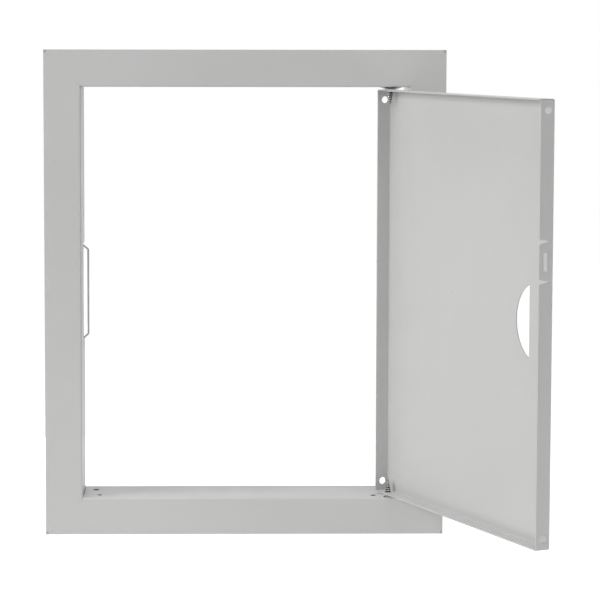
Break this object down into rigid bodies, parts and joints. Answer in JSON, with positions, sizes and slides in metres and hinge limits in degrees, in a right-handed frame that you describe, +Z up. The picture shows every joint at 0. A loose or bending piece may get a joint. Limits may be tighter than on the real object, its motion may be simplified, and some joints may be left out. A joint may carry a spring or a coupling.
{
  "type": "wall access panel",
  "caption": "Sheet-steel wall access panel: mitred flanged frame with a pan-folded door on two screw pivots, and a sprung wire in the latch side.",
  "frame": {"origin": "centre of the frame's opening, on the wall face behind the flange", "axes": "+X to the hinge side, +Y into the wall, +Z up; the room is on -Y"},
  "size_m": [0.2711, 0.1953, 0.28],
  "materials": {
    "frame_coat": "satin powder coat, light warm grey",
    "door_coat": "satin powder coat, light warm grey",
    "wire_steel": "drawn spring wire",
    "screw_steel": "dark oiled steel"
  },
  "bodies": {
    "frame": {"frame_top": "frame_coat", "frame_bottom": "frame_coat", "frame_left": "frame_coat", "frame_right": "frame_coat", "hinge_screw_upper": "screw_steel", "hinge_screw_lower": "screw_steel"},
    "door": {"door_panel": "door_coat"},
    "wire": {"spring_wire": "wire_steel"}
  },
  "joints": [
    {"name": "door_swing", "type": "hinge", "parent": "frame", "child": "door", "pos_m": [0.08345, 0.0052, 0], "axis": [0, 0, 1], "range_deg": [-113, 10]},
    {"name": "wire_swing", "type": "hinge", "parent": "frame", "child": "wire", "pos_m": [-0.0953, 0.02511, -0.0013], "axis": [0, 0, 1], "range_deg": [0, 60], "stiffness_Nm_per_rad": 0.01, "springref_deg": -11.46}
  ]
}
